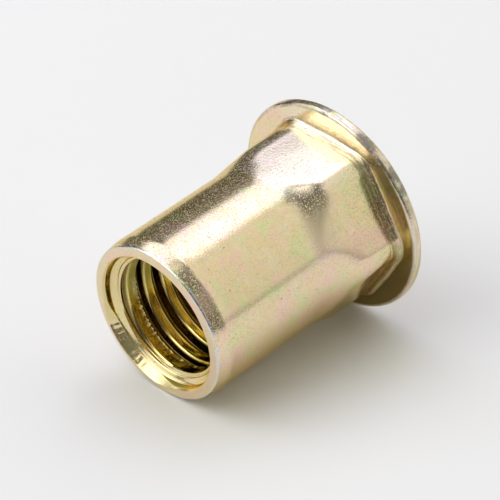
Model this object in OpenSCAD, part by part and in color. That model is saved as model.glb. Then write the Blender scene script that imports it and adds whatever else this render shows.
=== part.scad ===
// Blind rivet nut with a half-hexagonal body, a thin flat flange and an open threaded end.
// It is one cold-formed piece. It stands on its flange: the origin is the centre of the
// flange's outer face, and +Z runs along the bore to the threaded end.

/* [Body] */
// Height over all, flange included
overall_h = 17.5; // [15.5:0.5:24]
// Diameter of the round shank
shank_d = 12; // [11.6:0.05:12]
// Wall of the thin sleeve that folds when the nut is set
sleeve_wall = 0.8; // [0.5:0.05:0.9]

/* [Flange] */
// Diameter of the flange
flange_d = 16; // [15:0.1:20]
// Thickness of the flange
flange_h = 0.8; // [0.6:0.1:1.4]
// Radius that rounds both edges of the flange rim
flange_edge_r = 0.2; // [0.05:0.05:0.25]
// Width of the bevel round the bore in the flange's outer face
flange_bevel = 0.3; // [0.1:0.1:0.4]

/* [Hexagonal part] */
// Width across the flats
hex_af = 12.1; // [12.1:0.1:12.8]
// Length of the full hexagon below the flange, up to where its corners start to fade
hex_h = 4.3; // [2.5:0.1:5.5]
// Radius of the hexagon's corners
hex_corner_r = 2; // [0.8:0.1:2.4]
// Radius of the hollow sweep in which the corners run out into the shank
run_out_r = 5; // [3:0.5:7]
// Width of the small bevel that carries the hexagon down to the flange
root_bevel = 0.2; // [0.1:0.05:0.4]

/* [Threaded end] */
// How far the outside tapers in at the end face, on the radius
end_taper = 0.16; // [0.1:0.02:0.4]
// Length of that taper
end_taper_h = 1.1; // [0.6:0.1:2]
// Width of the small bevel on the outer edge of the end face
end_bevel = 0.12; // [0.05:0.01:0.2]
// Diameter of the plain mouth in front of the thread
mouth_d = 10.1; // [10:0.1:10.3]
// Depth of the plain mouth
mouth_h = 0.6; // [0.4:0.05:1]
// Width of the bevel round the mouth
mouth_bevel = 0.1; // [0.05:0.05:0.2]

/* [Thread] */
// Nominal diameter of the thread, at the roots of the groove
thread_d = 10; // [9.9:0.05:10.1]
// Pitch of the thread
thread_pitch = 1.5; // [1:0.25:1.5]
// Share of the full thread depth that is formed
thread_depth_share = 0.78; // [0.7:0.02:1]
// Length from the end face to the last full thread
thread_h = 9.2; // [6:0.2:10]
// Angle at which the groove runs out into the mouth
thread_start = 215; // [0:5:355]
// Depth below the end face at which the groove runs out
thread_lead = 0.475; // [0.35:0.025:0.6]

/* [Hidden] */
$fn = 96;

SKIN = 0.01;
// A full internal thread is this share of the pitch deep on the radius
FULL_DEPTH = 0.54127;
FLANK = tan(30);
GROOVE_STEPS = 36;
// Depth share with which the groove starts, and the turns over which it grows to its full depth
START_SHARE = 0.35;
START_TURNS = 2;
// Slope of the cone that leads from the mouth into the thread
LEAD_IN = tan(33.5);
// How far the groove's body reaches into the bore past the thread's crest
REACH = 0.3;
// How far the shapes that trim or bore the piece run on past it
PAST = 1;

shank_r = shank_d / 2;
flange_r = flange_d / 2;
mouth_r = mouth_d / 2;
sleeve_r = shank_r - sleeve_wall;
root_r = thread_d / 2;
crest_r = root_r - FULL_DEPTH * thread_pitch * thread_depth_share;
mouth_z = overall_h - mouth_h;
sleeve_top = overall_h - thread_h;

// Half length of a flat, the circle on which the corners' centres lie, and the corners' reach
flat_half = (hex_af / 2 - hex_corner_r) * tan(30);
corner_centre_r = (hex_af / 2 - hex_corner_r) / cos(30);
corner_reach = corner_centre_r + hex_corner_r;
envelope_r = corner_reach + PAST;
// Height in which the swept arc takes the corners down to the shank, and where it ends
run_out_rise = corner_reach - shank_r + SKIN;
run_out_h = sqrt(pow(run_out_r, 2) - pow(run_out_r - run_out_rise, 2));
run_out_top = flange_h + hex_h + run_out_h;

// Hexagon with rounded corners and two of its flats across the X axis
module rounded_hexagon() {
    polygon([for (k = [0:5], y = [-flat_half, flat_half])
        let (a = 60 * k, x = hex_af / 2)
        [x * cos(a) - y * sin(a), x * sin(a) + y * cos(a)]]);
    for (k = [0:5])
        rotate(60 * k + 30) translate([corner_centre_r, 0]) circle(hex_corner_r);
}

// Outline from the axis to the rim of the flange, with both rim edges rounded
module flange_outline() {
    square([flange_r - flange_edge_r, flange_h]);
    translate([0, flange_edge_r]) square([flange_r, flange_h - 2 * flange_edge_r]);
    for (z = [flange_edge_r, flange_h - flange_edge_r])
        translate([flange_r - flange_edge_r, z]) circle(flange_edge_r);
}

module flange() {
    rotate_extrude() flange_outline();
}

// The hexagonal part: a rounded hexagon, hollowed at its upper end by a swept arc
// so that the corners run out into the shank
module hexagonal_part() {
    intersection() {
        linear_extrude(run_out_top) rounded_hexagon();
        rotate_extrude() difference() {
            square([envelope_r, run_out_top]);
            translate([shank_r + run_out_r - SKIN, run_out_top]) circle(run_out_r);
        }
    }
}

// Small bevel round the root of the hexagon: a wedge along each flat and a cone at each corner.
// Their slopes run on into the flange.
module root() {
    for (k = [0:5]) {
        rotate(60 * k) translate([hex_af / 2, flat_half, flange_h]) rotate([90, 0, 0])
            linear_extrude(2 * flat_half)
                polygon([[-root_bevel, -root_bevel], [2 * root_bevel, -root_bevel],
                    [0, root_bevel], [-root_bevel, root_bevel]]);
        rotate(60 * k + 30) translate([corner_centre_r, 0, flange_h - root_bevel])
            cylinder(h = 2 * root_bevel, r1 = hex_corner_r + 2 * root_bevel, r2 = hex_corner_r);
    }
}

// Round shank with the tapered threaded end
module shank() {
    end_r = shank_r - end_taper;
    rotate_extrude()
        polygon([
            [0, 0],
            [shank_r, 0],
            [shank_r, overall_h - end_taper_h],
            [end_r, overall_h - end_bevel],
            [end_r - end_bevel, overall_h],
            [0, overall_h]
        ]);
}

// Everything that is bored out on the axis: sleeve, thread core, cone, mouth and bevels
module bores() {
    rotate_extrude()
        polygon([
            [0, -PAST],
            [sleeve_r + flange_bevel + PAST, -PAST],
            [sleeve_r, flange_bevel],
            [sleeve_r, sleeve_top],
            [crest_r, sleeve_top + (sleeve_r - crest_r)],
            [crest_r, mouth_z - (mouth_r - crest_r) * LEAD_IN],
            [mouth_r, mouth_z],
            [mouth_r, overall_h - mouth_bevel],
            [mouth_r + mouth_bevel + PAST, overall_h + PAST],
            [0, overall_h + PAST]
        ]);
}

// Four corners of the groove's section at one station of the helix.
// The groove is shallow where it starts in the mouth and grows to its full depth.
function groove_section(k) =
    let (
        turns = k / GROOVE_STEPS,
        a = thread_start - 360 * turns,
        z = overall_h - thread_lead - thread_pitch * turns,
        share = START_SHARE + (1 - START_SHARE) * min(1, turns / START_TURNS),
        bottom_r = crest_r + (root_r - crest_r) * share,
        bottom_w = thread_pitch / 16,
        top_r = crest_r - REACH,
        top_w = bottom_w + (bottom_r - top_r) * FLANK
    )
    [for (p = [[top_r, -top_w], [bottom_r, -bottom_w], [bottom_r, bottom_w], [top_r, top_w]])
        [p[0] * cos(a), p[0] * sin(a), z + p[1]]];

// The helical groove as one closed body, from inside the mouth to inside the sleeve
module thread_groove() {
    turns = (thread_h - thread_lead + sleeve_r - crest_r) / thread_pitch;
    last = ceil(turns * GROOVE_STEPS);
    points = [for (k = [0:last]) each groove_section(k)];
    sides = [for (k = [0:last - 1], j = [0:3])
        let (a = 4 * k + j, b = 4 * k + (j + 1) % 4)
        each [[a, b + 4, b], [a, a + 4, b + 4]]];
    polyhedron(points, concat(sides, [[0, 1, 2, 3], [for (j = [3:-1:0]) 4 * last + j]]));
}

// The formed and bored piece before its thread is cut
module blank() {
    difference() {
        union() {
            flange();
            hexagonal_part();
            root();
            shank();
        }
        bores();
    }
}

module rivet_nut() {
    color("#cbb98a")
    difference() {
        blank();
        thread_groove();
    }
}

rivet_nut();
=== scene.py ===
"""Looks of a zinc-plated blind rivet nut: its detailed skin, plating, studio and camera.

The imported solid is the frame. One closed mesh with rounded edges and a real thread stands for it.
All lengths in the first tables are millimetres, and the row frame has the flange's outer face at z 0.
"""

import math

import bpy
import numpy as np
from mathutils import Matrix, Quaternion, Vector, noise


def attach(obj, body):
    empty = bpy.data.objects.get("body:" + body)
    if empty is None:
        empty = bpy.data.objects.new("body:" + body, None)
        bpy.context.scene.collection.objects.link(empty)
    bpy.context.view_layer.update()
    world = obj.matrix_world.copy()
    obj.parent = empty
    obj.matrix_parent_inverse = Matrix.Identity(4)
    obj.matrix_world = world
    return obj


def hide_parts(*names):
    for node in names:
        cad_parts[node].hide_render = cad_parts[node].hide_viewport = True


MM = 0.001

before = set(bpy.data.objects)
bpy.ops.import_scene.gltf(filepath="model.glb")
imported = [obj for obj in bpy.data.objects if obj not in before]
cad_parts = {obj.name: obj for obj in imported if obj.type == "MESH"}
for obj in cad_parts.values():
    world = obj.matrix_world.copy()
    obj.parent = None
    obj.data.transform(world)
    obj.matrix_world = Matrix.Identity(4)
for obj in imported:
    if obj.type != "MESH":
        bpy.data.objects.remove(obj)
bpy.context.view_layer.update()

# Sizes of the part, the same values as its source has
OVERALL_H = 17.5
SHANK_R = 6.0
SLEEVE_R = 5.2
FLANGE_R = 8.0
FLANGE_H = 0.8
FLANGE_BEVEL = 0.3
HEX_FLAT_R = 6.05
HEX_TOP = 5.1
HEX_CORNER_R = 2.0
RUN_OUT_R = 5.0
END_TAPER = 0.16
END_TAPER_H = 1.1
MOUTH_R = 5.05
MOUTH_H = 0.6
LEAD_IN = math.tan(math.radians(33.5))
ROOT_R = 5.0
PITCH = 1.5
CREST_R = 4.367
THREAD_H = 9.2
THREAD_START = 215.0
THREAD_LEAD = 0.475
ROOT_FLAT = PITCH / 8
FLANK = math.tan(math.radians(30))
START_SHARE = 0.35
START_TURNS = 2.0

# How the real surface is finished where the solid has plain edges
RIM_ROUND = 0.24
ROOT_OUT = 0.36
ROOT_UP = 0.75
EDGE_ROUND = 0.16
CROWN = 0.03
BURR = 0.15
WAVE = 0.011
COLUMNS = 288


# Shape of the outside


def hex_radius(phi):
    """Radius of the rounded hexagon at angles in radians, with flats across X."""
    a = (phi + math.pi / 6) % (math.pi / 3) - math.pi / 6
    half = (HEX_FLAT_R - HEX_CORNER_R) * math.tan(math.pi / 6)
    centre = (HEX_FLAT_R - HEX_CORNER_R) / math.cos(math.pi / 6)
    off = np.abs(a) - math.pi / 6
    corner = centre * np.cos(off) + np.sqrt(HEX_CORNER_R**2 - (centre * np.sin(off)) ** 2)
    flat = HEX_FLAT_R / np.cos(a)
    sharp = np.where(np.abs(a) < math.atan(half / HEX_FLAT_R), flat, corner)
    return sharp + CROWN * (np.cos(6 * a) - 0.6)


CORNER_REACH = HEX_CORNER_R + (HEX_FLAT_R - HEX_CORNER_R) / math.cos(math.pi / 6)
ENVELOPE_RISE = CORNER_REACH + 0.3 - SHANK_R
RUN_OUT_TOP = HEX_TOP + math.sqrt(
    RUN_OUT_R**2 - (RUN_OUT_R - (CORNER_REACH - SHANK_R)) ** 2
)


def run_out_radius(z):
    """Radius of the turned run-out from the hexagon to the shank."""
    drop = np.clip(RUN_OUT_TOP - z, 0, RUN_OUT_R)
    return SHANK_R + RUN_OUT_R - np.sqrt(RUN_OUT_R**2 - drop**2)


def soft_min(a, b, k):
    return -k * np.logaddexp(-a / k, -b / k)


def soft_max(a, b, k):
    near = np.maximum(k - np.abs(a - b), 0) / k
    return np.maximum(a, b) + near * near * k / 4


def plateau(x, low, high, soft):
    """Smooth 0 to 1 to 0 over a span of x."""
    t = np.clip(np.minimum(x - low, high - x) / soft + 0.5, 0, 1)
    return t * t * (3 - 2 * t)


def arc(centre_r, centre_z, radius, start, end, steps):
    """Points of an arc in the r-z plane, with angles in degrees from +r towards +z."""
    t = np.radians(np.linspace(start, end, steps))
    return [(centre_r + radius * math.cos(a), centre_z + radius * math.sin(a)) for a in t]


def line(p, q, steps):
    """Points between p and q, without the ends."""
    t = np.linspace(0, 1, steps + 2)[1:-1]
    return [(p[0] + (q[0] - p[0]) * a, p[1] + (q[1] - p[1]) * a) for a in t]


class Skin:
    """Collects rings of vertices, from one closed loop round the section, and joins them."""

    def __init__(self):
        self.phi = np.arange(COLUMNS) * 2 * math.pi / COLUMNS
        self.points = []
        self.count = 0
        self.faces = []
        self.rings = []
        self.tags = []

    def ring(self, r, z, tag):
        """Adds one ring, whose radius and height may change with the angle."""
        r = np.broadcast_to(r, COLUMNS)
        z = np.broadcast_to(z, COLUMNS)
        self.points.append(np.stack([r * np.cos(self.phi), r * np.sin(self.phi), z], 1))
        ids = np.arange(self.count, self.count + COLUMNS)
        self.count += COLUMNS
        self.tags += [tag] * COLUMNS
        self.rings.append(ids)
        return ids

    def join(self, a, b):
        """Quads between two rings."""
        for i in range(COLUMNS):
            k = (i + 1) % COLUMNS
            self.faces.append((a[i], a[k], b[k], b[i]))


skin = Skin()
PHI = skin.phi
HEX = hex_radius(PHI)
RUN_OUT_BLEND = 0.02 + 0.26 * np.maximum(HEX - HEX_FLAT_R, 0) ** 0.6
BLURRED_CORNER = plateau(np.degrees(PHI), 186, 234, 22)
EDGE_Z = RUN_OUT_TOP - np.sqrt(
    np.maximum(RUN_OUT_R**2 - (SHANK_R + RUN_OUT_R - HEX) ** 2, 0)
)


def body_radius(z):
    """Radius of the hexagon as it runs out into the shank. One corner's edge is blurred."""
    fading = np.clip((RUN_OUT_TOP + 0.8 - z) / 2.5, 0, 1)
    blend = RUN_OUT_BLEND * (1 + 1.1 * BLURRED_CORNER * fading)
    return soft_min(HEX, run_out_radius(z), blend)


def outside():
    """Rings of the outside, from the bore's bevel on the flange up to the mouth."""
    made = []
    inner = SLEEVE_R + FLANGE_BEVEL
    outer = FLANGE_R - RIM_ROUND
    bottom = [(inner, 0.0)]
    bottom += line((inner, 0.0), (outer, 0.0), 9) + [(outer - 0.03, 0.0)]
    rim = arc(outer, RIM_ROUND, RIM_ROUND, -90, 0, 7)
    rim += arc(outer, FLANGE_H - RIM_ROUND, RIM_ROUND, 0, 90, 7)
    for r, z in bottom:
        made.append(skin.ring(r, z, "flange"))
    for r, z in rim:
        made.append(skin.ring(r, z, "rim"))
    made.append(skin.ring(outer - 0.03, FLANGE_H, "flange"))
    foot = HEX + ROOT_OUT
    for share in (0.15, 0.35, 0.6, 0.85, 0.97):
        made.append(skin.ring(outer + (foot - outer) * share, FLANGE_H, "flange"))
    for a in np.radians(np.linspace(-90, -180, 14)):
        r = foot + ROOT_OUT * math.cos(a)
        z = FLANGE_H + ROOT_UP + ROOT_UP * math.sin(a)
        made.append(skin.ring(r, z, "root"))
    low = FLANGE_H + ROOT_UP
    steps = [0.02, 0.12, 0.28, 0.45, 0.62, 0.78, 0.9]
    zs = [low + (EDGE_Z - 0.7 - low) * s for s in steps]
    zs += [EDGE_Z + d for d in (-0.7, -0.5, -0.33, -0.2, -0.08, 0.08, 0.2, 0.33, 0.5, 0.7)]
    top = RUN_OUT_TOP + 0.8
    zs += [EDGE_Z + 0.7 + (top - EDGE_Z - 0.7) * s for s in np.linspace(0.12, 1, 9)]
    for z in zs:
        made.append(skin.ring(body_radius(z), z, "body"))
    taper_z = OVERALL_H - END_TAPER_H
    for z in np.linspace(top, taper_z - 0.2, 13)[1:]:
        made.append(skin.ring(body_radius(z), z, "body"))
    slope = END_TAPER / (END_TAPER_H - EDGE_ROUND)
    for d in np.linspace(-0.2, 0.2, 7)[1:]:
        drop = slope * (d + 0.2) ** 2 / 0.8
        made.append(skin.ring(SHANK_R - drop, taper_z + d, "taper"))
    edge = SHANK_R - END_TAPER
    high = OVERALL_H - EDGE_ROUND
    for z in np.linspace(taper_z + 0.2, high, 7)[1:-1]:
        made.append(skin.ring(SHANK_R - slope * (z - taper_z), z, "taper"))
    made.append(skin.ring(edge, high - 0.02, "edge"))
    for r, z in arc(edge - EDGE_ROUND, high, EDGE_ROUND, 0, 90, 7):
        made.append(skin.ring(r, z, "edge"))
    return made


def lip_radius(phi):
    """Inner edge of the end face: a little off centre, and broken away on one side."""
    broken = plateau(np.degrees(phi) % 360, 52, 124, 24)
    return MOUTH_R + 0.06 + 0.09 * np.sin(phi + 0.2) + 0.31 * broken


def mouth():
    """Rings of the end face, the plain mouth and the cone, down to the edge of the thread."""
    made = []
    start = SHANK_R - END_TAPER - EDGE_ROUND - 0.03
    lip = lip_radius(PHI)
    top = OVERALL_H
    for share in (0.0, 0.25, 0.5, 0.75, 1.0):
        made.append(skin.ring(start + (lip + 0.05 - start) * share, top, "face"))
    for r, z in ((0.02, -0.004), (0.006, -0.014), (0, -0.035)):
        made.append(skin.ring(lip + r, top + z, "lip"))
    bevel = (lip - MOUTH_R) * 1.05
    marks = 0.018 * np.sin(72 * PHI) * plateau(np.degrees(PHI), 50, 100, 8)
    for share in (0.3, 0.6, 0.9):
        r = lip + (MOUTH_R - lip) * share
        made.append(skin.ring(r + marks, top - 0.035 - bevel * share, "lip"))
    wall_top = top - 0.035 - bevel
    wall_low = top - MOUTH_H + 0.07
    for share in (0.1, 0.4, 0.7, 1.0):
        z = wall_top + (wall_low - wall_top) * share
        made.append(skin.ring(MOUTH_R - 0.02 * share, z, "mouth"))
    for r, z in ((0.03, 0.02), (0.065, -0.025), (0.12, -0.079)):
        made.append(skin.ring(MOUTH_R - r, top - MOUTH_H + z, "ledge"))
    cone = [(MOUTH_R - d, top - MOUTH_H - d * LEAD_IN) for d in (0.2, 0.28, 0.36, 0.42)]
    r0, z0 = cone[-1]
    cone += [(r0 - 0.015, z0 - 0.02), (r0 - 0.025, z0 - 0.075), (r0 - 0.05, z0 - 0.1)]
    r1, z1 = CREST_R + 0.05, top - MOUTH_H - (MOUTH_R - CREST_R) * LEAD_IN + 0.01
    cone += line(cone[-1], (r1, z1), 3) + [(r1, z1)]
    cone += [(CREST_R + 0.02, z1 - 0.02), (CREST_R + 0.004, z1 - 0.045)]
    for r, z in cone:
        made.append(skin.ring(np.maximum(r, groove_radius(PHI, z)), z, "ledge"))
    return made, z1 - 0.06


# Shape of the thread


def groove_turn(phi, z):
    """Turns from the thread's start, and the height above the groove's middle."""
    share = (THREAD_START - np.degrees(phi)) / 360
    along = (OVERALL_H - THREAD_LEAD - z) / PITCH - share
    n = np.round(along)
    return n + share, (n - along) * PITCH


def groove_depth(turn):
    """Depth of the groove below the crest, which grows over the first turns."""
    share = START_SHARE + (1 - START_SHARE) * np.clip(turn / START_TURNS, 0, 1)
    depth = (ROOT_R - CREST_R) * share
    return np.where((turn < 0) | (turn > THREAD_H / PITCH), 0, depth)


def groove_radius(phi, z):
    turn, dz = groove_turn(phi, z)
    side = np.maximum(np.abs(dz) - ROOT_FLAT / 2, 0)
    return CREST_R + groove_depth(turn) - side / FLANK


def bore_radius(z):
    """Radius of the plain bore: crest, then a cone out to the sleeve."""
    cone_low = OVERALL_H - THREAD_H
    return np.clip(SLEEVE_R - (z - cone_low), CREST_R, SLEEVE_R)


FLANK_STEPS = (0.08, 0.3, 0.5, 0.68, 0.8, 0.9)
CREST_STEPS = (0.0, 0.12, 0.25, 0.4, 0.7)
CREST_ROUND = 0.2
PER_TURN = 2 * (1 + len(FLANK_STEPS) + len(CREST_STEPS)) + 1


# Parts of the outside whose top side near the flange gets a painted highlight
OUTER = ("flange", "root", "body")
BURRS = np.random.default_rng(4).random(COLUMNS) ** 1.8


def turn_offsets(turn):
    """Heights of a turn's rows above the groove's middle, from the top one down."""
    depth = groove_depth(np.maximum(turn, 0))
    edge = ROOT_FLAT / 2 + depth * FLANK
    up = [np.full_like(depth, ROOT_FLAT / 3)]
    up += [ROOT_FLAT / 2 + depth * FLANK * s for s in FLANK_STEPS]
    up += [edge + (PITCH / 2 - edge) * s for s in CREST_STEPS]
    return up[::-1] + [np.zeros_like(depth)] + [-u for u in up]


def thread_radius(phi, z):
    """Radius of the threaded bore, with rounded crests and small burrs along one of them."""
    r = soft_max(bore_radius(z), groove_radius(phi, z), CREST_ROUND)
    turn, dz = groove_turn(phi, z)
    edge = ROOT_FLAT / 2 + groove_depth(turn) * FLANK
    column = np.round(phi / (2 * math.pi) * COLUMNS).astype(int) % COLUMNS
    on_edge = (np.abs(dz - edge - 0.06) < 0.09) & (turn > 1.14) & (turn < 1.52)
    return r - np.where(on_edge, BURR * BURRS[column], 0)


def thread(top_z, low_z):
    """Rows that follow the helix between two level rings; rows past a ring end on it."""
    top = skin.ring(thread_radius(PHI, np.full(COLUMNS, top_z)), top_z, "thread")
    low = skin.ring(thread_radius(PHI, np.full(COLUMNS, low_z)), low_z, "thread")
    turns = int((OVERALL_H - low_z) / PITCH) + 3
    share = (THREAD_START - np.degrees(PHI)) / 360
    rows = []
    for n in range(-1, turns):
        turn = n + share
        middle = OVERALL_H - THREAD_LEAD - PITCH * turn
        for off in turn_offsets(turn):
            rows.append(middle + off)
    ids = []
    merge = 0.012
    for z in rows:
        inside = (z < top_z - merge) & (z > low_z + merge)
        row = np.where(z >= top_z - merge, top, low)
        if inside.any():
            keep = np.flatnonzero(inside)
            zi = z[keep]
            p = PHI[keep]
            r = thread_radius(p, zi)
            skin.points.append(np.stack([r * np.cos(p), r * np.sin(p), zi], 1))
            row[keep] = np.arange(skin.count, skin.count + len(keep))
            skin.count += len(keep)
            skin.tags += ["thread"] * len(keep)
        ids.append(row)
    for j in range(len(ids) - 1):
        for i in range(COLUMNS):
            k = i + 1
            if k < COLUMNS:
                quad = [ids[j][i], ids[j][k], ids[j + 1][k], ids[j + 1][i]]
            elif j >= PER_TURN:
                quad = [ids[j][i], ids[j - PER_TURN][0], ids[j + 1 - PER_TURN][0], ids[j + 1][i]]
            else:
                continue
            clean = [v for n, v in enumerate(quad) if v != quad[n - 1]]
            if len(set(clean)) == len(clean) and len(clean) > 2:
                skin.faces.append(tuple(clean))
    return top, low


def sleeve():
    """Rings of the wide bore, from the thread's end back to the flange's face."""
    made = []
    cone_low = OVERALL_H - THREAD_H
    made.append(skin.ring(SLEEVE_R - 0.08, cone_low + 0.08, "sleeve"))
    made.append(skin.ring(SLEEVE_R - 0.02, cone_low, "sleeve"))
    for z in np.linspace(cone_low - 0.08, FLANGE_BEVEL + 0.1, 9):
        made.append(skin.ring(SLEEVE_R, z, "sleeve"))
    bevel = arc(SLEEVE_R + FLANGE_BEVEL, FLANGE_BEVEL, FLANGE_BEVEL, 180, 270, 7)
    for r, z in bevel[:-1]:
        made.append(skin.ring(r, z, "sleeve"))
    return made


def finish_surface(mesh, points):
    """Makes the formed surface slightly wavy, and notes where it is worn, where the bore's tone goes, and
    where shade, highlights and reflections are painted.
    """
    normals = np.zeros(len(points) * 3)
    mesh.vertices.foreach_get("normal", normals)
    normals = normals.reshape(-1, 3)
    wave = np.array([noise.noise(Vector(p) * 0.33) for p in points])
    wave += 0.35 * np.array([noise.noise(Vector(p) * 1.1 + Vector((7, 3, 1))) for p in points])
    quiet = {"thread": 0.3, "ledge": 0.6, "flange": 0.7, "rim": 1.3, "edge": 0.5, "face": 0.4}
    amount = np.array([quiet.get(t, 1.0) for t in skin.tags])
    moved = points + normals * (wave * amount * WAVE)[:, None]
    mesh.vertices.foreach_set("co", (moved * MM).ravel())
    mesh.update()
    shares = {
        "wear": {"edge": 0.9, "lip": 0.1, "rim": 0.5, "face": 0.12, "taper": 0.03},
        "bored": {"thread": 1.0, "sleeve": 1.0, "mouth": 0.9, "ledge": 0.45, "lip": 0.45},
        "drawn": {"root": 1.0, "rim": 0.5},
    }
    values = {k: np.array([v.get(t, 0.0) for t in skin.tags]) for k, v in shares.items()}
    tags = np.array(skin.tags)
    r = np.hypot(points[:, 0], points[:, 1])
    turned = np.degrees(np.arctan2(points[:, 1], points[:, 0])) % 360
    shifted = (turned + 90) % 360
    # Painted shade: the thread's grooves on the near side and a band of its crests are darkened
    deep = np.clip((r - CREST_R - 0.03) / 0.1, 0, 1) * plateau(shifted, 65, 300, 40)
    deep = np.maximum(deep, 0.6 * plateau(shifted, 142, 190, 16)) * (tags == "thread")
    # Painted shade: one band of the flange face under the body is darkened
    under = (tags == "flange") & (points[:, 2] > FLANGE_H / 2)
    low = 0.32 + 0.38 * plateau(turned, 120, 200, 30)
    deep += low * plateau(turned, 130, 262, 24) * under
    # Painted reflection: the bore's olive is laid on the flange face under the body, standing for light
    # bounced off the body
    values["bored"] += 0.7 * plateau(turned, 130, 240, 30) * under
    burr = (tags == "thread") & (r < CREST_R - 0.03)
    values["deep"] = deep * ~burr
    values["burr"] = 1.0 * burr
    # Painted highlight: a band of thread crests and part of the mouth wall get a lime glint, and more
    # roughness
    values["rough_and_painted_glint"] = plateau(shifted, 70, 138, 24) * (tags == "thread") * (r < CREST_R + 0.05)
    values["rough_and_painted_glint"] += 0.6 * plateau(turned, 96, 152, 20) * (tags == "mouth")
    rubbed = plateau(turned, 236, 264, 15) * plateau(points[:, 2], 5.2, 7.6, 1.5)
    values["rubbed"] = rubbed * (tags == "body")
    values["ring"] = 1.0 * (tags == "face")
    near_flange = points[:, 2] < HEX_TOP + 2
    # Painted highlight: the top side near the flange is painted paler
    values["painted_top_highlight"] = plateau(turned, 270, 332, 26) * np.isin(tags, OUTER) * near_flange
    # Painted reflection: dark patches on the rim's upper side
    values["rim_painted_dark_reflection"] = plateau(turned, 232, 352, 30) * (tags == "rim")
    for name, amounts in values.items():
        mesh.attributes.new(name, "FLOAT", "POINT").data.foreach_set("value", amounts)


def build_skin():
    """The whole closed mesh as a Blender object."""
    out = outside()
    inner, thread_top = mouth()
    top, low = thread(thread_top, OVERALL_H - THREAD_H + SLEEVE_R - ROOT_R - 0.02)
    back = sleeve()
    for group in (out + inner + [top], [low] + back + [out[0]]):
        for a, b in zip(group, group[1:]):
            skin.join(a, b)
    mesh = bpy.data.meshes.new("rivet_nut_skin")
    points = np.concatenate(skin.points)
    faces = [tuple(int(v) for v in f) for f in skin.faces]
    mesh.from_pydata((points * MM).tolist(), [], faces)
    mesh.validate()
    mesh.update()
    finish_surface(mesh, points)
    obj = bpy.data.objects.new("rivet_nut_skin", mesh)
    bpy.context.scene.collection.objects.link(obj)
    mesh.polygons.foreach_set("use_smooth", [True] * len(mesh.polygons))
    return obj


nut = build_skin()


class Nodes:
    """Short calls that add and link shader nodes."""

    def __init__(self, mat):
        mat.use_nodes = True
        self.tree = mat.node_tree

    def add(self, kind, settings=(), inputs=()):
        made = self.tree.nodes.new(kind)
        for name, value in dict(settings).items():
            setattr(made, name, value)
        for name, value in dict(inputs).items():
            socket = made.inputs[name]
            if isinstance(value, bpy.types.NodeSocket):
                self.tree.links.new(value, socket)
            else:
                socket.default_value = value
        return made

    def noise(self, vector, scale, detail=2.0, rough=0.5, warp=0.0):
        values = {"Vector": vector, "Scale": scale, "Detail": detail, "Roughness": rough}
        values["Distortion"] = warp
        return self.add("ShaderNodeTexNoise", (), values).outputs["Fac"]

    def span(self, value, low, high, to_low=0.0, to_high=1.0):
        """Smooth step of a value from one span to another."""
        settings = {"interpolation_type": "SMOOTHSTEP"}
        values = {"Value": value, "From Min": low, "From Max": high}
        values.update({"To Min": to_low, "To Max": to_high})
        return self.add("ShaderNodeMapRange", settings, values).outputs["Result"]

    def math(self, operation, a, b):
        return self.add("ShaderNodeMath", {"operation": operation}, {0: a, 1: b}).outputs[0]

    def mix(self, factor, a, b):
        values = {0: factor, 6: a, 7: b}
        return self.add("ShaderNodeMix", {"data_type": "RGBA"}, values).outputs[2]

    def dot(self, vector, axis):
        settings = {"operation": "DOT_PRODUCT"}
        return self.add("ShaderNodeVectorMath", settings, {0: vector, 1: axis}).outputs["Value"]

    def scratch(self, mm, start, end, width):
        """A straight scratch between two points of the outside, in millimetres."""
        p, q = Vector(start), Vector(end)
        along = (q - p).normalized()
        out = Vector((p.x, p.y, 0)).normalized()
        across = along.cross(out).normalized()
        t = self.math("SUBTRACT", self.dot(mm, across), p.dot(across))
        s = self.math("SUBTRACT", self.dot(mm, along), (p + q).dot(along) / 2)
        thin = self.span(self.math("ABSOLUTE", t, 0), width * 0.4, width, 1.0, 0.0)
        half = (q - p).length / 2
        ends = self.span(self.math("ABSOLUTE", s, 0), half * 0.8, half, 1.0, 0.0)
        side = self.math("GREATER_THAN", self.dot(mm, out), 3.0)
        return self.math("MULTIPLY", self.math("MULTIPLY", thin, ends), side)

    def attribute(self, name):
        return self.add("ShaderNodeAttribute", {"attribute_name": name}).outputs["Fac"]


# Colours of the plating, as the metal reflects them, and of painted shade, painted highlights and painted
# reflections
GOLD = (0.85, 0.70, 0.44, 1)
PINK = (0.91, 0.65, 0.54, 1)
GREEN = (0.72, 0.77, 0.41, 1)
STRAW = (0.87, 0.78, 0.60, 1)
ZINC = (0.74, 0.75, 0.77, 1)
# Paler tone of the painted highlight on the top side
PAINTED_TOP_PALE = (0.93, 0.88, 0.73, 1)
# Dark grey of the rim's painted dark reflections
PAINTED_DARK_REFLECTION = (0.26, 0.25, 0.24, 1)
PIT = (0.28, 0.15, 0.07, 1)
# Olive of the bore, also used as a painted reflection on the flange face under the body
OLIVE = (0.85, 0.70, 0.27, 1)
# Dark brown of the painted shade, also used for the drawn tool lines
SHADE_AND_LINE_DARK = (0.13, 0.08, 0.022, 1)
# Lime of the painted highlight on the thread's crests and the mouth wall
PAINTED_GLINT_LIME = (1.0, 1.0, 0.42, 1)
YELLOW = (0.90, 0.80, 0.34, 1)


# Bright scratches on the outside, from point to point in millimetres
SCRATCHES = (
    ((-2.17, -5.68, 7.05), (-2.96, -5.31, 7.69)),
    ((-3.46, -5.00, 8.28), (-3.66, -4.85, 6.56)),
    ((-3.64, -4.87, 6.75), (-3.59, -4.91, 5.45)),
)


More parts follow.
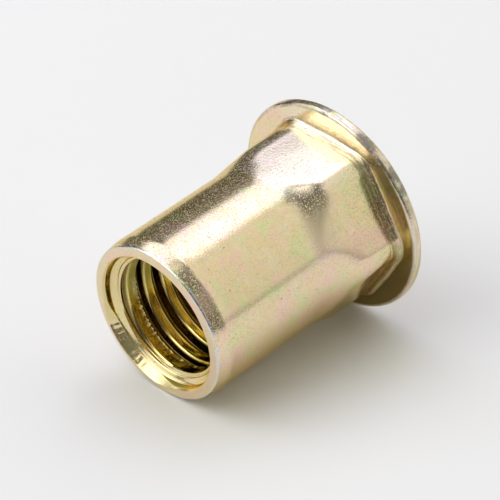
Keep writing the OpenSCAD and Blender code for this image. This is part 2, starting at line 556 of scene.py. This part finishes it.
def plating():
    """Yellow zinc plating: gold with pink and green sheens, fine grain, pits and worn edges, with painted
    shade in the thread and under the body, painted highlights on the top side and the thread, and painted
    dark reflections on the rim.
    """
    mat = bpy.data.materials.new("yellow_zinc")
    n = Nodes(mat)
    shader = n.tree.nodes["Principled BSDF"]
    place = n.add("ShaderNodeTexCoord").outputs["Object"]
    scaled = {"Vector": place, "Scale": (1000, 1000, 1000)}
    mm = n.add("ShaderNodeMapping", {"vector_type": "POINT"}, scaled).outputs["Vector"]
    wear = n.attribute("wear")
    bored = n.attribute("bored")

    pink = n.span(n.noise(mm, 0.34, 6, 0.68, 0.4), 0.47, 0.62)
    moved = {"Vector": mm, "Location": (31, 17, 5)}
    mm2 = n.add("ShaderNodeMapping", {"vector_type": "POINT"}, moved).outputs["Vector"]
    green = n.span(n.noise(mm2, 0.42, 6, 0.68, 0.5), 0.5, 0.62)
    pale = n.span(n.noise(mm2, 0.9, 4, 0.6, 0.3), 0.45, 0.7)
    colour = n.mix(n.math("MULTIPLY", pale, 0.55), GOLD, STRAW)
    colour = n.mix(n.math("MULTIPLY", pink, 0.8), colour, PINK)
    green = n.math("MULTIPLY", green, n.math("SUBTRACT", 0.75, n.attribute("ring")))
    colour = n.mix(n.math("MAXIMUM", green, 0.0), colour, GREEN)
    outer = n.math("SUBTRACT", 1.0, bored)
    flecks = n.span(n.noise(mm2, 6.5, 3, 0.75), 0.5, 0.66, 0.0, 0.5)
    colour = n.mix(n.math("MULTIPLY", flecks, outer), colour, YELLOW)
    flecks = n.span(n.noise(mm, 5.0, 3, 0.75), 0.52, 0.68, 0.0, 0.5)
    colour = n.mix(n.math("MULTIPLY", flecks, outer), colour, PINK)
    # Painted highlight: the top side near the flange is painted paler
    colour = n.mix(n.math("MULTIPLY", n.attribute("painted_top_highlight"), 0.5), colour, PAINTED_TOP_PALE)
    colour = n.mix(n.math("MULTIPLY", n.attribute("rubbed"), 0.35), colour, STRAW)
    # Olive tone of the bore, and a painted reflection of that olive on the flange face under the body
    colour = n.mix(bored, colour, OLIVE)
    # Painted highlight: lime glints on a band of thread crests and on part of the mouth wall
    rough_and_painted_glint = n.attribute("rough_and_painted_glint")
    colour = n.mix(rough_and_painted_glint, colour, PAINTED_GLINT_LIME)
    # Painted shade in the thread's grooves, on a band of crests and on the flange face under the body
    colour = n.mix(n.math("MULTIPLY", n.attribute("deep"), 0.9), colour, SHADE_AND_LINE_DARK)
    grain = n.noise(mm, 9.0, 3, 0.7)
    bare = n.span(grain, 0.55, 0.72, 0.0, 0.4)
    bare = n.math("MULTIPLY", bare, n.math("ADD", 1.0, n.attribute("ring")))
    worn = n.math("MULTIPLY", wear, n.span(n.noise(mm2, 2.2, 4, 0.7), 0.35, 0.6))
    bare = n.math("MAXIMUM", bare, worn)
    bare = n.math("MULTIPLY", bare, outer)
    bare = n.math("MAXIMUM", bare, n.attribute("burr"))
    for start, end in SCRATCHES:
        bare = n.math("MAXIMUM", bare, n.scratch(mm, start, end, 0.045))
    colour = n.mix(bare, colour, ZINC)
    # Painted reflection: dark patches on the upper side of the rim
    dark = n.span(n.noise(mm2, 0.6, 5, 0.7), 0.47, 0.62, 0.0, 0.8)
    colour = n.mix(n.math("MULTIPLY", n.attribute("rim_painted_dark_reflection"), dark), colour, PAINTED_DARK_REFLECTION)
    flat = {"Vector": mm, "Scale": (0.6, 0.6, 9)}
    drawn = n.add("ShaderNodeMapping", {"vector_type": "POINT"}, flat).outputs["Vector"]
    lines = n.noise(drawn, 1.0, 3, 0.7)
    streaks = n.math("MULTIPLY", n.span(lines, 0.42, 0.6, 0.0, 0.6), n.attribute("drawn"))
    colour = n.mix(n.math("MULTIPLY", streaks, 0.7), colour, SHADE_AND_LINE_DARK)
    cells = n.add("ShaderNodeTexVoronoi", (), {"Vector": mm, "Scale": 1.7})
    dots = n.span(cells.outputs["Distance"], 0.05, 0.09, 1.0, 0.0)
    chosen = n.add("ShaderNodeSeparateColor", (), {"Color": cells.outputs["Color"]})
    dots = n.math("MULTIPLY", dots, n.math("GREATER_THAN", chosen.outputs[0], 0.6))
    colour = n.mix(dots, colour, PIT)

    rough = n.span(n.noise(mm2, 2.5, 3, 0.6), 0.3, 0.7, 0.11, 0.17)
    rough = n.math("ADD", rough, n.math("MULTIPLY", wear, 0.06))
    rough = n.math("SUBTRACT", rough, n.math("MULTIPLY", bored, 0.07))
    rough = n.math("ADD", rough, n.math("MULTIPLY", n.attribute("rubbed"), 0.18))
    soft = n.math("MULTIPLY", n.noise(mm, 7.0, 2, 0.6), 0.5)
    rough = n.math("ADD", rough, n.math("MULTIPLY", rough_and_painted_glint, 0.5))
    lines = n.math("MULTIPLY", lines, n.attribute("drawn"))
    height = n.math("SUBTRACT", soft, n.math("MULTIPLY", dots, 0.6))
    height = n.math("ADD", height, n.math("MULTIPLY", lines, 2.0))
    pimples = n.math("MULTIPLY", n.span(n.noise(mm, 12.0, 2, 0.6), 0.56, 0.74), outer)
    height = n.math("ADD", height, pimples)
    values = {"Strength": 1.0, "Distance": 0.000012, "Height": height}
    bump = n.add("ShaderNodeBump", (), values).outputs["Normal"]
    links = n.tree.links
    links.new(colour, shader.inputs["Base Color"])
    links.new(rough, shader.inputs["Roughness"])
    links.new(bump, shader.inputs["Normal"])
    shader.inputs["Metallic"].default_value = 1.0
    shader.inputs["Specular Tint"].default_value = (0.9, 0.79, 0.5, 1)
    return mat


nut.data.materials.append(plating())
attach(nut, "root")
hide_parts("rivet_nut")

# Studio: the floor that the nut lies on in the photograph, seen from the row frame
FLOOR_TURN = -55.66
FLOOR_TILT = 7.33
FLOOR_SIZE = 0.6
NEAR_FLOOR = 0.07
FLOOR_COLOUR = (0.89, 0.9, 0.905, 1)
CAMERA_TARGET = Vector((0.56, -0.11, 8.14)) * MM
CAMERA_AZIMUTH = -10.68
CAMERA_ELEVATION = 32.17
CAMERA_ROLL = 124.09
CAMERA_DISTANCE = 0.21735
CAMERA_LENS = 230.4

up = Vector(
    (
        math.cos(math.radians(FLOOR_TURN)) * math.cos(math.radians(FLOOR_TILT)),
        math.sin(math.radians(FLOOR_TURN)) * math.cos(math.radians(FLOOR_TILT)),
        -math.sin(math.radians(FLOOR_TILT)),
    )
)


def camera():
    """The photograph's view: a long lens, turned about its own axis."""
    cam = bpy.data.objects.new("camera", bpy.data.cameras.new("camera"))
    bpy.context.scene.collection.objects.link(cam)
    a, e = math.radians(CAMERA_AZIMUTH), math.radians(CAMERA_ELEVATION)
    back = Vector((math.sin(a) * math.cos(e), -math.cos(a) * math.cos(e), math.sin(e)))
    look = (-back).to_track_quat("-Z", "Y")
    cam.rotation_mode = "QUATERNION"
    cam.rotation_quaternion = look @ Quaternion((0, 0, 1), -math.radians(CAMERA_ROLL))
    cam.location = CAMERA_TARGET + back * CAMERA_DISTANCE
    cam.data.lens = CAMERA_LENS
    cam.data.sensor_width = 36
    cam.data.clip_start = 0.01
    cam.data.clip_end = 10
    bpy.context.scene.camera = cam
    return -back


forward = camera()
away = (forward - up * forward.dot(up)).normalized()
right = away.cross(up)
lowest = min((v.co.dot(up) for v in nut.data.vertices))
middle = Vector((0, 0, OVERALL_H / 2 * MM))
foot = middle + up * (lowest - middle.dot(up))
STUDIO = Matrix(
    (
        (right.x, away.x, up.x, foot.x),
        (right.y, away.y, up.y, foot.y),
        (right.z, away.z, up.z, foot.z),
        (0, 0, 0, 1),
    )
)


def emission(name, colour, strength):
    mat = bpy.data.materials.new(name)
    mat.use_nodes = True
    nodes, links = mat.node_tree.nodes, mat.node_tree.links
    nodes.clear()
    out = nodes.new("ShaderNodeOutputMaterial")
    glow = nodes.new("ShaderNodeEmission")
    glow.inputs["Color"].default_value = (*colour, 1)
    glow.inputs["Strength"].default_value = strength
    links.new(glow.outputs[0], out.inputs["Surface"])
    return mat, glow


def floor_part(name, front, back, mat):
    mesh = bpy.data.meshes.new(name)
    s = FLOOR_SIZE
    corners = [(-s, front, 0), (s, front, 0), (s, back, 0), (-s, back, 0)]
    mesh.from_pydata(corners, [], [(0, 1, 2, 3)])
    obj = bpy.data.objects.new(name, mesh)
    bpy.context.scene.collection.objects.link(obj)
    obj.matrix_world = STUDIO
    obj.data.materials.append(mat)
    return obj


def floor():
    """A pale floor that can't be seen from behind. The metal mirrors only its near part."""
    mat = bpy.data.materials.new("pale_floor")
    mat.use_nodes = True
    nodes, links = mat.node_tree.nodes, mat.node_tree.links
    shader = nodes["Principled BSDF"]
    shader.inputs["Base Color"].default_value = FLOOR_COLOUR
    shader.inputs["Roughness"].default_value = 0.9
    shader.inputs["Specular IOR Level"].default_value = 0.1
    clear = nodes.new("ShaderNodeBsdfTransparent")
    side = nodes.new("ShaderNodeNewGeometry")
    mix = nodes.new("ShaderNodeMixShader")
    links.new(side.outputs["Backfacing"], mix.inputs[0])
    links.new(shader.outputs[0], mix.inputs[1])
    links.new(clear.outputs[0], mix.inputs[2])
    links.new(mix.outputs[0], nodes["Material Output"].inputs["Surface"])
    floor_part("floor", -NEAR_FLOOR, FLOOR_SIZE, mat)
    floor_part("far_floor", -FLOOR_SIZE, -NEAR_FLOOR, mat).visible_glossy = False


TENT_R = 0.6
CREAM = (1.02, 1.0, 0.89)
WARM = (1.03, 1.0, 0.93)
COOL = (1.0, 1.0, 1.3)
PLAIN = (1.0, 1.0, 1.0)
# Panels overhead: how far right of and beyond the zenith the middle lies, half width, half
# depth, softness, strength and tint, with all angles in degrees
OVERHEAD = (
    (-8, 28, 25, 18, 6, 1.3, COOL),
    (-28, -17, 33, 21, 8, 1.15, WARM),
    (-42, 18, 18, 22, 10, 0.95, PLAIN),
    (10, 8, 16, 12, 12, 0.12, WARM),
)
# Panels at the sides: azimuth from straight ahead to the right, elevation, half width, half
# height, softness across and upwards, strength and tint, with all angles in degrees
SIDES = (
    (60, 35, 53, 33, 22, 12, 0.66, CREAM),
    (32, 28, 18, 16, 20, 14, 0.14, CREAM),
    (-105, 32, 32, 26, 14, 4, 1.1, PLAIN),
    (-140, -4, 50, 10, 20, 6, -0.08, PLAIN),
    (-22, 10, 35, 16, 12, 8, -0.05, PLAIN),
    (137, 36, 24, 16, 16, 12, 0.12, CREAM),
)
TENT_BASE = (0.16, 0.155, 0.14)


def fade(distance, half, soft):
    t = min(max((half - distance) / soft + 0.5, 0), 1)
    return t * t * (3 - 2 * t)


def tent_light(az, el):
    """Colour of the light tent towards one direction, in degrees."""
    total = list(TENT_BASE)
    across = (90 - el) * math.sin(math.radians(az))
    along = (90 - el) * math.cos(math.radians(az))
    for x, y, wide, deep, soft, strength, tint in OVERHEAD:
        share = fade(abs(across - x), wide, soft) * fade(abs(along - y), deep, soft)
        total = [t + strength * share * c for t, c in zip(total, tint)]
    for a, e, wide, high, soft_a, soft_e, strength, tint in SIDES:
        turn = abs((az - a + 180) % 360 - 180)
        share = fade(turn, wide, soft_a) * fade(abs(el - e), high, soft_e)
        total = [t + strength * share * c for t, c in zip(total, tint)]
    return total


def tent():
    """A tent of soft panels round the nut, which the metal mirrors."""
    rows, columns = 53, 144
    points, light, faces = [], [], []
    for j in range(rows):
        el = -14 + 104 * j / (rows - 1)
        for i in range(columns):
            az = 360 * i / columns
            e, a = math.radians(el), math.radians(az)
            points.append(
                (
                    TENT_R * math.cos(e) * math.sin(a),
                    TENT_R * math.cos(e) * math.cos(a),
                    TENT_R * math.sin(e),
                )
            )
            light += tent_light(az, el) + [1.0]
    for j in range(rows - 1):
        for i in range(columns):
            k = (i + 1) % columns
            faces.append((j * columns + i, j * columns + k, (j + 1) * columns + k, (j + 1) * columns + i))
    mesh = bpy.data.meshes.new("light_tent")
    mesh.from_pydata(points, [], faces)
    glow = mesh.attributes.new("glow", "FLOAT_COLOR", "POINT")
    glow.data.foreach_set("color", light)
    obj = bpy.data.objects.new("light_tent", mesh)
    bpy.context.scene.collection.objects.link(obj)
    obj.matrix_world = STUDIO
    mat, shader = emission("light_tent", (1, 1, 1), 1)
    nodes, links = mat.node_tree.nodes, mat.node_tree.links
    value = nodes.new("ShaderNodeAttribute")
    value.attribute_name = "glow"
    links.new(value.outputs["Color"], shader.inputs["Color"])
    obj.data.materials.append(mat)
    obj.visible_camera = False


floor()
tent()

world = bpy.data.worlds.new("pale")
world.use_nodes = True
world.node_tree.nodes["Background"].inputs["Color"].default_value = (0.87, 0.87, 0.87, 1)
world.node_tree.nodes["Background"].inputs["Strength"].default_value = 1.0
bpy.context.scene.world = world
bpy.context.scene.view_settings.view_transform = "Standard"
